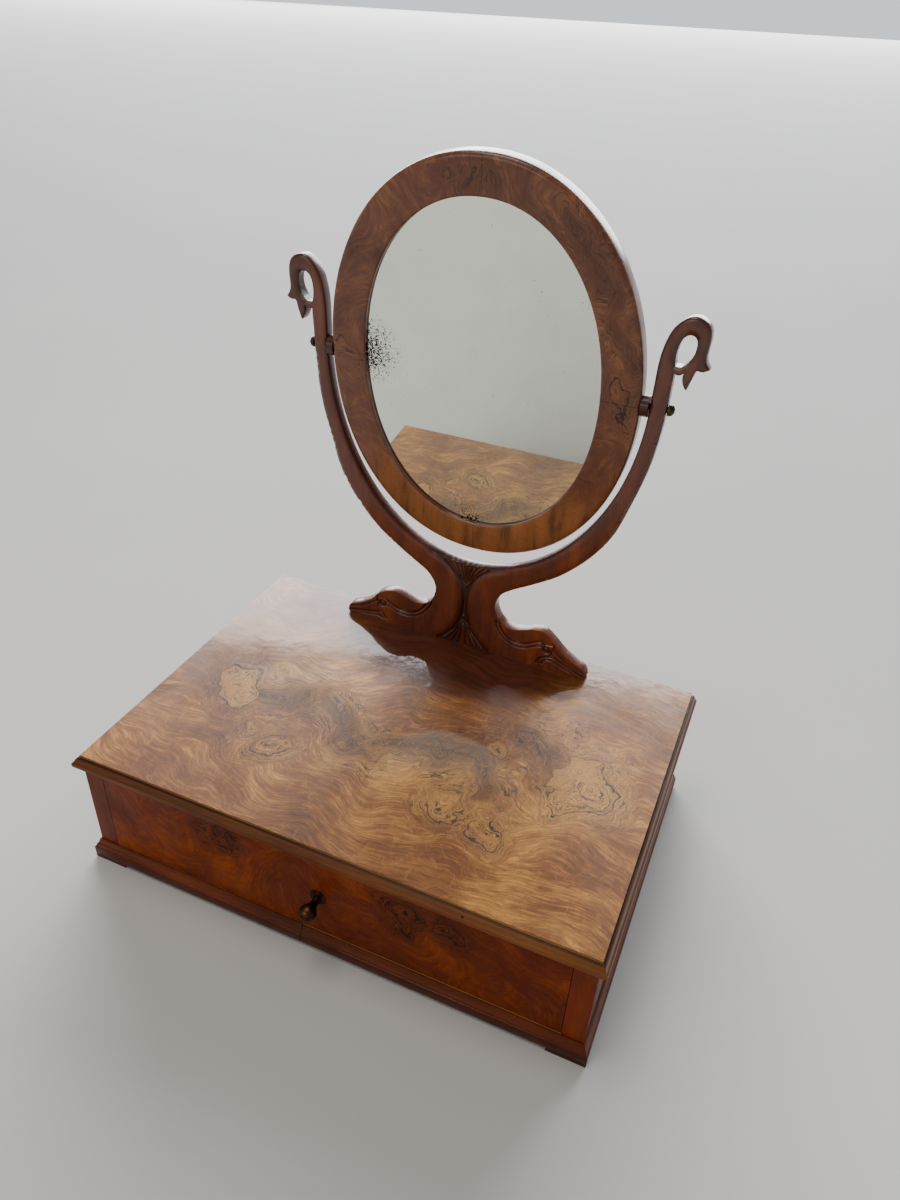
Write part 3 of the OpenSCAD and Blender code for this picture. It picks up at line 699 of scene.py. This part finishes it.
# ---- knob ----
def turned(name, profile, sharp, steps=48):
    """Brass turned about the knob's axis; profile: (radius, distance out from the drawer's face) in mm."""
    axis = Vector((0, -1, 0))
    side = axis.orthogonal().normalized()
    other = axis.cross(side)
    rows = []
    for r, d in profile:
        row = []
        for i in range(steps):
            a = 2 * math.pi * i / steps
            row.append(KNOB_AT + axis * (d * MM) + (side * math.cos(a) + other * math.sin(a)) * (r * MM))
        rows.append(row)
    verts, faces = loft(rows, closed_rows=False, caps=True)
    make(name, verts, faces, brass, "drawer", sharp=sharp)


KNOB_Z = [corner[2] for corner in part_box("knob_collar")]
KNOB_AT = Vector((0, FRONT_Y, sum(KNOB_Z) / 2))
BALL_R, BALL_AT = 7.0, 16.0
collar = [(6.9, 0.0), (7.25, 0.3), (7.3, 0.7), (7.0, 1.1), (6.2, 1.35), (6.0, 1.6), (5.9, 2.0), (5.2, 2.5),
          (4.6, 2.8), (4.2, 2.8)]
neck = [(4.1, 2.8), (4.15, 3.2), (3.7, 3.8), (3.1, 5.2), (2.9, 6.6), (3.1, 7.8), (3.6, 8.6), (3.9, 9.2)]
ball = [(BALL_R * math.cos(math.radians(a)), BALL_AT + BALL_R * math.sin(math.radians(a)))
        for a in range(-54, 88, 7)]
turned("knob_collar", collar, 40)
turned("drawer_knob", neck + ball + [(0.4, BALL_AT + BALL_R - 0.01)], 60)


# ---- mirror frame ----
# half axes of the outer and inner ovals in mm, and the power that squares them a little
OUT_A, OUT_B, IN_A, IN_B, POWER = 135.5, 172.0, 103.5, 142.0, 2.1
# face, rear and glass in mm behind the pivot, width of the rebate, drop of the middle below the pivot
FACE_Y, REAR_Y, GLASS_Y, LAP, DROP = -8.75, 8.75, -4.55, 6.0, 2.5
TILT = Matrix.Translation(PIVOT) @ Matrix.Rotation(LEAN, 4, "X")


def oval(a, b, t):
    c, s = math.cos(t), math.sin(t)
    bent = 2 / POWER
    return Vector((a * math.copysign(abs(c) ** bent, c), b * math.copysign(abs(s) ** bent, s)))


def frame_point(t, inward, y):
    """Point on the frame at angle t, inward mm from its outer edge and y mm behind the pivot."""
    out, ins = oval(OUT_A, OUT_B, t), oval(IN_A, IN_B, t)
    p = out + (ins - out).normalized() * inward
    return TILT @ Vector((p.x * MM, y * MM, (p.y - DROP) * MM))


def frame_width(t):
    return (oval(IN_A, IN_B, t) - oval(OUT_A, OUT_B, t)).length


# rounded outer corner of the face: inward, y
ROUND = [(0.0, -2.6), (0.0, -4.4), (0.12, -5.3), (0.5, -6.35), (1.15, -7.25), (2.0, -7.95), (3.0, -8.4),
         (4.3, -8.65), (6.0, FACE_Y), (10.5, FACE_Y)]


def quarter(name, t0, t1, steps=56):
    """Face veneer from angle t0 to t1, a skin about 1 mm thick."""
    rows = []
    for i in range(steps + 1):
        t = t0 + (t1 - t0) * i / steps
        w = frame_width(t)
        outer = ROUND + [(w - 9, FACE_Y), (w - 1.6, FACE_Y), (w - 0.7, FACE_Y + 0.18),
                         (w - 0.2, FACE_Y + 0.6), (w, FACE_Y + 1.2)]
        inner = [(w - 1.0, FACE_Y + 1.2), (w - 2.2, FACE_Y + 1.0), (w - 9, FACE_Y + 1.0)]
        inner += [(a + 0.9, b + 0.9) for a, b in reversed(ROUND[2:])] + [(0.9, -2.6)]
        rows.append([frame_point(t, a, b) for a, b in outer + inner])
    verts, faces = loft(rows, closed_rows=False, caps=True)
    make(name, verts, faces, burr_frame, "mirror", sharp=34)


half_pi = math.pi / 2
split = math.atan2((DROP / OUT_B) ** (POWER / 2), 1.0)
quarter("frame_veneer_top_right", split, half_pi)
quarter("frame_veneer_top_left", half_pi, math.pi - split)
quarter("frame_veneer_bottom_left", math.pi - split, 3 * half_pi)
quarter("frame_veneer_bottom_right", 3 * half_pi, 2 * math.pi + split)


def ring_core(steps=224):
    """Solid wood behind the face veneer, rebated at the back for the glass."""
    rows = []
    for i in range(steps):
        t = 2 * math.pi * i / steps
        w = frame_width(t)
        sec = [(0.0, -2.55), (0.0, 6.6), (0.25, 7.7), (0.9, 8.45), (2.0, REAR_Y), (w - LAP - 0.6, REAR_Y),
               (w - LAP, REAR_Y - 0.6), (w - LAP, GLASS_Y), (w - 0.2, GLASS_Y), (w, GLASS_Y - 0.3),
               (w, FACE_Y + 1.25), (w - 2.2, FACE_Y + 1.05), (w - 9, FACE_Y + 1.05)]
        sec += [(a + 0.95, b + 0.95) for a, b in reversed(ROUND[2:])] + [(0.95, -2.55)]
        rows.append([frame_point(t, a, b) for a, b in sec])
    verts, faces = loft(rows)
    make("frame_ring", verts, faces, walnut, "mirror", sharp=34)


ring_core()

# ---- swan stand ----
# outlines of a swan half: x out from the middle, z up from the carcass foot, in mm
HEAD = {
    "right": [
        (126.9, 121.5), (127.1, 123.7), (126.2, 126.8), (124.6, 129.7), (121.8, 131.9), (115.9, 135.1),
        (110, 138.4), (103.9, 142.3), (99, 146.5), (94.7, 150.9), (90.3, 154.7), (85.4, 159), (82.1, 161.2),
        (79.2, 161.9), (75.2, 161.4), (69.8, 160.3), (63.4, 157.9), (56.9, 155.5), (51.4, 154.4),
        (46.9, 154.6), (43.2, 156), (39.6, 158.7), (36.1, 162.8), (33.8, 167.3), (32.2, 171.2),
        (31.5, 175.5), (31.9, 179.7), (33.3, 184), (35.4, 188), (38.2, 191.6), (43.1, 195.4)
    ],
    "left": [
        (126.8, 121.5), (127, 124), (125.9, 127.8), (123.3, 130.2), (118, 132.8), (111.6, 135.6),
        (105.1, 139.7), (100.1, 143.6), (96.3, 147.9), (93.8, 151), (90.6, 153.7), (86.4, 156.3),
        (81.4, 158.3), (76.5, 159.6), (71.5, 159.6), (66.6, 158.5), (61.7, 156.7), (56.8, 154.9),
        (51.9, 154), (47, 154.1), (42.2, 155.1), (38.7, 157.3), (35.8, 160.4), (33.5, 163.9), (31.8, 168),
        (30.9, 171.6), (30.3, 175), (30.4, 178.4), (31.3, 181.8), (33.3, 185.9), (36.4, 190.3), (41.6, 195)
    ],
}
ARM = [(50, 199.9), (59, 205.2), (68.3, 210.8), (86.5, 223), (103, 238.4), (119, 258), (132, 281),
       (140.5, 308), (148, 335.5), (152.5, 360.5), (155.1, 390), (155.7, 408), (155.9, 426.4)]
LOBE = [(155.9, 426.4), (158.5, 425.6), (161, 426.1), (162.8, 427.6)]
LEAF_IN = [(162.8, 427.6), (162.4, 424.4), (163.4, 420), (165.1, 416.8), (166.9, 414.8)]
LEAF_OUT = [(166.9, 414.8), (168.6, 420.8), (169.9, 425), (170.9, 429.3), (172.4, 431.3)]
BARB = [(172.4, 431.3), (176.5, 430.9), (181, 433)]
SCROLL = [(181, 433), (178.2, 437), (177.1, 441), (177.2, 445.5), (177.5, 450), (177.7, 454.5),
          (177.3, 459), (176.1, 463), (173.8, 466.1), (170.5, 468.4), (166.6, 469.8), (162.8, 469.9),
          (159, 468.8), (155.4, 466.4), (152.2, 463.2), (149.6, 459.4), (147.3, 454.5), (145.6, 449),
          (144.2, 443), (143.2, 436), (142.7, 428), (142.5, 414), (142.3, 400)]
ARCH_A, ARCH_B, ARCH_Z = 142.3, 187.5, 400
ARCH = [(ARCH_A * math.cos(a), ARCH_Z - ARCH_B * math.sin(a)) for a in map(math.radians, range(1, 90))]
HOLE = [(155.8, 432), (154.8, 437), (155, 443), (156.2, 449), (158.2, 453.2), (161, 455.6), (164, 455.9),
        (166.6, 454.6), (168.1, 451.8), (168.5, 448), (168, 443.5), (166.4, 439), (163.6, 434.9),
        (160, 432), (155.8, 432)]
BOX_H = (TOP_Z - FOOT) / MM
FOOT_X, FORK_Z = 125.6, 212.5
# carved grooves: points, half width, depth, in mm; the first of each is the roll of the head's crest
GROOVES = {
    "right": [
        ([(36.5, 157.7), (39.1, 151.9), (43, 146.6), (47.9, 142.9), (53.8, 141.1), (59.5, 141),
          (66.1, 142.8), (71.4, 145.8), (76.7, 148.5), (81.1, 148.7), (83.8, 146.9)], 0.75, 1.5),
        ([(33.8, 160.1), (34.8, 153.1), (38.1, 147), (43.4, 141.8), (49.5, 138.1), (56.5, 136.2),
          (64.4, 137.3), (70.3, 140.4), (76.1, 143.5), (81.1, 144.3)], 0.7, 1.0),
        ([(93.3, 151.1), (93.7, 149.9), (92.4, 142.2), (90.5, 136.9)], 0.6, 0.7),
        ([(78.2, 124.4), (78.8, 127.7), (81.9, 131.5), (87.2, 134.3), (92.2, 135), (97.3, 134.1),
          (103.1, 131.9), (111.2, 128.5), (118.2, 125.6), (124.7, 122.8)], 0.65, 1.2),
        ([(82.7, 125), (85, 128.8), (88.8, 130.7), (94.4, 130.1), (102.6, 127), (111.8, 124.2)], 0.6, 0.8),
        ([(92.6, 143), (98.9, 138.5), (104.9, 134.6), (110.9, 131.3), (117.8, 128.7),
          (125.5, 126.9)], 0.6, 0.6),
    ],
    "left": [
        ([(82.5, 145.8), (79.3, 144.4), (75.6, 142.2), (71.2, 140.4), (66.2, 139.3), (60, 139.4),
          (54.5, 140.9), (49.1, 144), (44.4, 148.5), (40.9, 153.2), (38.4, 157.6)], 0.85, 1.6),
        ([(80.5, 140.6), (76.1, 138.6), (71.1, 136.3), (64.9, 135.1), (57.4, 135.5), (50.1, 138.5),
          (44.2, 142.7), (38.9, 149.1), (35.5, 154.9), (34.1, 158.9)], 0.7, 1.0),
        ([(94.4, 149.8), (93.5, 146.7), (93.5, 143.3), (91.8, 137.4)], 0.6, 0.8),
        ([(124.6, 123), (116.8, 124.6), (107.8, 126.2), (98.8, 128.3), (92.4, 129.9), (88, 129.9),
          (85.8, 127.8), (84.8, 125.4), (82.2, 124.1)], 0.65, 1.2),
        ([(111.7, 122.3), (102.6, 123.4), (95, 124.5), (90.5, 123.5), (87.3, 122.5)], 0.6, 0.7),
        ([(125.9, 127.1), (119.4, 128.7), (112.9, 130.6), (105.2, 134.8), (99.4, 139.1),
          (94.4, 142.6)], 0.6, 0.6),
    ],
}
EYE = {"right": (86.1, 141.8), "left": (87.5, 141.8)}
EYE_R, LID_R, SOCKET_R = 2.6, 3.3, 4.4
# heights where the head ends, the arm begins and the carving stops, and the place of the scroll's leaf
HEAD_TO, ARM_FROM, CARVED_TO = 168, 222, 232
LEAF_X, LEAF_Z = 164, 427
# inner edge of each neck, where it meets the fans
SPINE = [(37, 217.6), (20.5, 209.2), (9.2, 195.5), (3.2, 179.5), (2.4, 162), (7, 144), (16.8, 130),
         (27, 121)]
# rays of the fans: x and z of the root, x and z of the tip
FAN_TOP = [(0, 186, 0.0, 213), (0.5, 187, 4.4, 212.6), (1.2, 188, 9.5, 212.4), (2.2, 190, 15.5, 212.8),
           (3.6, 192, 23, 214)]
FAN_LOW = [(0.3, 154, 0.6, 120), (0.7, 151, 7.0, 120), (1.8, 148, 13.5, 120), (3.6, 145, 20.5, 120)]


def line_distance(pts, line):
    """Distance of each point from a line of straight stretches."""
    line = [np.array(p, float) for p in line]
    best = np.full(len(pts), 1e9)
    for a, b in zip(line[:-1], line[1:]):
        ab = b - a
        t = np.clip(((pts - a) @ ab) / max(ab @ ab, 1e-9), 0, 1)
        best = np.minimum(best, np.hypot(*(pts - a - t[:, None] * ab).T))
    return best


def inside(pts, loop):
    """Which points lie inside a closed loop."""
    x, y = pts[:, 0], pts[:, 1]
    hit = np.zeros(len(pts), bool)
    for (x0, y0), (x1, y1) in zip(loop, np.roll(loop, -1, axis=0)):
        cross = (y0 > y) != (y1 > y)
        with np.errstate(divide="ignore", invalid="ignore"):
            hit ^= cross & (x < (x1 - x0) * (y - y0) / (y1 - y0) + x0)
    return hit


def swan_loops(side):
    """Free edge of a swan half, its whole outline, and the scroll's hole."""
    free = (catmull(HEAD[side] + ARM, 4) + catmull(LOBE, 3) + catmull(LEAF_IN, 3) + catmull(LEAF_OUT, 3)
            + catmull(BARB, 3) + catmull(SCROLL, 4) + [np.array(p) for p in ARCH])
    free = [np.array((FOOT_X, BOX_H))] + free + [np.array((0.0, FORK_Z))]
    centre = [np.array((0.0, z)) for z in np.linspace(FORK_Z, BOX_H, 110)[1:]]
    foot = [np.array((x, BOX_H)) for x in np.linspace(0, FOOT_X, 130)[1:-1]]
    return np.array(free), np.array(free + centre + foot), np.array(catmull(HOLE, 4))[::-1]


def ramp01(v, lo, hi):
    """Smooth step from 0 to 1 as v goes from lo to hi."""
    t = np.clip((v - lo) / (hi - lo), 0, 1)
    return t * t * (3 - 2 * t)


def rounding(edge, r):
    """Drop of a rounded edge of radius r, at a distance from the edge."""
    return r - np.sqrt(np.maximum(r * r - (r - np.minimum(edge, r)) ** 2, 0))


def carve(pts, edge, side):
    """How far the carved face lies below the stand's front plane, in mm, and how much painted shade darkens
    its grooves, creases and rounded edges.
    """
    x, z = pts[:, 0], pts[:, 1]
    arm = ramp01(z, HEAD_TO, ARM_FROM)
    # the heads have a crisp arris; arms and scrolls are rounded over, less so at the small leaf
    tight = np.clip(1.35 - np.hypot(x - LEAF_X, z - LEAF_Z) / 15, 0, 1)
    depth = rounding(edge, 0.55 + 2.1 * arm * (1 - 0.62 * tight)) * (0.8 + 0.1 * arm)
    depth += 0.75 * arm * (1 - 0.7 * tight) * np.clip(1 - edge / 7.5, 0, 1) ** 2
    low = z < CARVED_TO
    spine = [np.array(p) for p in catmull(SPINE, 5)] + [np.array(SPINE[-1])]
    near = line_distance(pts, spine)
    field = [(28.0, 119.0), (-1.0, 119.0), (-1.0, 222.0), (38.0, 222.0)]
    fan = inside(pts, np.array(spine + [np.array(p) for p in field], float)) & low
    depth += np.where(~fan & low, np.clip(1 - near / 6.5, 0, 1) ** 2 * 1.5, 0)
    # painted shade along the crease where the neck meets the fans
    carving_shade = np.where(low & (z < 221), np.exp(-(near / 1.1) ** 2) * 0.85, 0)
    bed = np.clip(near / 0.9, 0, 1) * 1.1 + 1.5
    rays = np.zeros(len(pts))
    for x0, z0, x1, z1 in FAN_TOP + FAN_LOW:
        d = line_distance(pts, [(x0, z0), (x0 * 0.62 + x1 * 0.38, (z0 + z1) / 2), (x1, z1)])
        spread = 0.35 + 0.55 * np.clip(np.abs(z - z0) / 28, 0, 1)
        ray = np.exp(-(d / spread) ** 2)
        rays = np.maximum(rays, ray)
        bed = bed - ray * 1.25
    depth = np.where(fan, np.maximum(depth, bed), depth)
    # painted shade in the valleys between the fan's rays
    carving_shade = np.where(fan, np.maximum(carving_shade, 0.85 * (1 - rays)), carving_shade)
    for line, w, deep in GROOVES[side]:
        d = line_distance(pts, catmull(line, 4) + [np.array(line[-1])])
        depth += 1.3 * deep * np.exp(-(d / w) ** 2)
        # painted shade in each groove, darker for deeper ones
        carving_shade = np.maximum(carving_shade, min(1.0, 0.45 + 0.4 * deep) * np.exp(-(d / (0.95 * w)) ** 2))
    # the crest between the roll and the outline is let down a little
    roll = GROOVES[side][0][0]
    if side == "left":
        roll = roll[::-1]
    crest = inside(pts, np.array(roll + [(93, 148), (93, 165), (50, 165), (36, 163)], float))
    depth += np.where(crest, 0.75 * np.clip(line_distance(pts, roll) / 1.6, 0, 1), 0)
    eye = np.hypot(x - EYE[side][0], z - EYE[side][1])
    depth = np.where(eye < SOCKET_R, np.maximum(depth, 0.35), depth)
    depth += 1.0 * np.exp(-((eye - LID_R) / 0.55) ** 2)
    ball = np.clip(1 - (eye / EYE_R) ** 2, 0, 1)
    depth = np.where(eye < EYE_R, 0.75 - 0.7 * np.sqrt(ball), depth)
    # painted shade on the rounded edges of the arms and scrolls
    carving_shade = np.maximum(carving_shade, 0.6 * ramp01(z, 200, 240) * np.clip(1 - edge / 3.4, 0, 1) ** 1.4)
    # painted shade in the ring round the eye and on the eyeball
    carving_shade = np.maximum(carving_shade, np.exp(-((eye - 3.2) / 0.7) ** 2) * 0.95)
    carving_shade = np.where(eye < EYE_R, np.maximum(carving_shade, 0.7), carving_shade)
    return np.clip(depth, 0.0, 4.5), carving_shade


def inset(line, amount, closed):
    """The line moved to its left by an amount."""
    nxt, prv = np.roll(line, -1, axis=0), np.roll(line, 1, axis=0)
    tan = nxt - prv
    if not closed:
        tan[0], tan[-1] = line[1] - line[0], line[-1] - line[-2]
    tan /= np.maximum(np.linalg.norm(tan, axis=1)[:, None], 1e-9)
    return line + np.stack([-tan[:, 1], tan[:, 0]], 1) * amount


def grid(x0, x1, z0, z1, step):
    """Points in staggered rows."""
    gx, gz = np.meshgrid(np.arange(x0, x1, step), np.arange(z0, z1, step * 0.87))
    gx[1::2] += step / 2
    return np.stack([gx.ravel(), gz.ravel()], 1)


def swan_points(side, free, loop, hole, edge_distance):
    """Points of the face: its outline, rings inside every edge, a grid, and circles round the eye."""
    eye_x, eye_z = EYE[side]
    rings = []
    for amount in (0.18, 0.5, 1.0, 1.7, 2.6):
        for line, closed in ((free, False), (hole, True)):
            p = inset(line, amount, closed)
            rings.append(p[edge_distance(p) > amount * 0.95])
    # a fine grid where the stand is carved, a coarse one on the arms
    cells = np.concatenate([grid(0.4, 127, BOX_H + 0.4, 226, 0.62), grid(0.5, 182, 226.5, 472, 1.8)])
    cells = cells[inside(cells, loop) & ~inside(cells, hole)]
    cells = cells[edge_distance(cells) > np.where(cells[:, 1] < 200, 1.35, 3.1)]
    cells = cells[np.hypot(cells[:, 0] - eye_x, cells[:, 1] - eye_z) > 4.6]
    polar = [(eye_x + r * math.cos(a), eye_z + r * math.sin(a))
             for r in np.arange(0.45, 4.5, 0.45) for a in np.linspace(0, 2 * math.pi, 29)[:-1]]
    return np.concatenate([loop, hole] + [p[inside(p, loop) & ~inside(p, hole)] for p in rings]
                          + [cells, np.array(polar + [(eye_x, eye_z)])])


def swan_half(side, sign):
    """A stand half: a carved front face and a plain rear one, joined round every edge."""
    free, loop, hole = swan_loops(side)
    free_line, hole_line = list(free), list(hole) + [hole[0]]

    def edge_distance(p):
        return np.minimum(line_distance(p, free_line), line_distance(p, hole_line))

    pts = swan_points(side, free, loop, hole, edge_distance)
    n, h = len(loop), len(hole)
    edges = [(i, (i + 1) % n) for i in range(n)] + [(n + i, n + (i + 1) % h) for i in range(h)]
    out = delaunay_2d_cdt([Vector(p) for p in pts], edges, [], 0, 1e-5)
    pts = np.array([tuple(v) for v in out[0]])
    tris = np.array([f for f in out[2] if len(f) == 3])
    mid = pts[tris].mean(axis=1)
    tris = tris[inside(mid, loop) & ~inside(mid, hole)]
    used = np.unique(tris)
    index = np.full(len(pts), -1)
    index[used] = np.arange(len(used))
    pts, tris = pts[used], index[tris]
    edge = edge_distance(pts)
    front, carving_shade = carve(pts, edge, side)
    rear = rounding(edge, 1.0)
    count = len(pts)
    x, z = pts[:, 0] * MM * sign, pts[:, 1] * MM + FOOT
    verts = np.concatenate([np.stack([x, STAND_FRONT + front * MM, z], 1),
                            np.stack([x, STAND_BACK - rear * MM, z], 1)])
    faces = [tuple(f) for f in tris] + [tuple(f[::-1] + count) for f in tris]
    sides = {(f[i], f[(i + 1) % 3]) for f in tris for i in range(3)}
    faces += [(b, a, a + count, b + count) for a, b in sides if (b, a) not in sides]
    # painted shade on the carved front face only; none on the plain rear
    carving_shade_map = np.concatenate([carving_shade, np.zeros(count)])
    make(f"swan_{side}", verts, faces, carved, "case", sharp=38, carving_shade_map=carving_shade_map)


swan_half("right", 1)
swan_half("left", -1)

# ---- stage ----
FLOOR_HALF = 29.0
# the sky's light falls from one strength to another between two heights above the horizon
SKY = {"From Min": 0.02, "From Max": 0.09, "To Min": 1.15, "To Max": 0.30}
# name, place, aim, width and height, watts, colour
LIGHTS = (
    ("back", (-8.3, 30, 12.9), (0, 0, 0.15), (44, 19.6), 34500, (0.95, 0.97, 1.0)),
    ("overhead", (-0.4, -0.2, 2.4), (0, 0, 0.1), (0.9, 0.9), 18, (1.0, 0.95, 0.88)),
    ("fill", (-0.7, -2.0, 1.3), (0, 0, 0.2), (1.4, 1.0), 12, (1.0, 0.93, 0.84)),
)


def pale_floor():
    h = FLOOR_HALF
    mesh = bpy.data.meshes.new("floor")
    mesh.from_pydata([(-h, -h, 0), (h, -h, 0), (h, h, 0), (-h, h, 0)], [], [(0, 1, 2, 3)])
    floor = bpy.data.objects.new("floor", mesh)
    scene.collection.objects.link(floor)
    t = Tree("pale_floor")
    tone = t.noise(t.coord, 3.0, 3.0)
    mesh.materials.append(t.finish(t.mix(tone, rgba(196, 194, 190), rgba(204, 202, 198)), 0.8))


def studio_sky():
    world = bpy.data.worlds.new("studio")
    world.use_nodes = True
    nodes, links = world.node_tree.nodes, world.node_tree.links
    rise = nodes.new("ShaderNodeSeparateXYZ")
    links.new(nodes.new("ShaderNodeTexCoord").outputs["Generated"], rise.inputs[0])
    glow = nodes.new("ShaderNodeMapRange")
    links.new(rise.outputs[2], glow.inputs["Value"])
    for socket, value in SKY.items():
        glow.inputs[socket].default_value = value
    nodes["Background"].inputs["Color"].default_value = (0.80, 0.83, 0.88, 1)
    links.new(glow.outputs[0], nodes["Background"].inputs["Strength"])
    scene.world = world


def area(name, at, aim, size, watts, color):
    data = bpy.data.lights.new(name, "AREA")
    data.shape = "RECTANGLE"
    data.size, data.size_y = size
    data.energy = watts
    data.color = color
    obj = bpy.data.objects.new(name, data)
    scene.collection.objects.link(obj)
    obj.location = at
    obj.rotation_mode = "QUATERNION"
    obj.rotation_quaternion = (Vector(aim) - Vector(at)).to_track_quat("-Z", "Y")


pale_floor()
studio_sky()
for light in LIGHTS:
    area(*light)

# ---- camera: where the photograph was taken from ----
SENSOR, LENS = 36.0, 26.88
NEAR, FAR = 0.02, 50
TURN, DOWN, ROLL = (math.radians(a) for a in (21.912, 34.381, 2.953))
CAMERA_AT = (0.2526, -0.5342 + SHIFT_Y, 0.6583 + FOOT)
cam_data = bpy.data.cameras.new("camera")
cam_data.sensor_width = SENSOR
cam_data.lens = LENS
cam_data.clip_start, cam_data.clip_end = NEAR, FAR
camera = bpy.data.objects.new("camera", cam_data)
scene.collection.objects.link(camera)
ahead = Vector((-math.sin(TURN), math.cos(TURN), 0))
level = Vector((math.cos(TURN), math.sin(TURN), 0))
sight = ahead * math.cos(DOWN) - Vector((0, 0, math.sin(DOWN)))
upright = Vector((0, 0, math.cos(DOWN))) + ahead * math.sin(DOWN)
cam_right = level * math.cos(ROLL) + upright * math.sin(ROLL)
cam_up = upright * math.cos(ROLL) - level * math.sin(ROLL)
axes = Matrix((cam_right, cam_up, -sight)).transposed().to_4x4()
camera.matrix_world = Matrix.Translation(CAMERA_AT) @ axes
bpy.context.scene.camera = camera
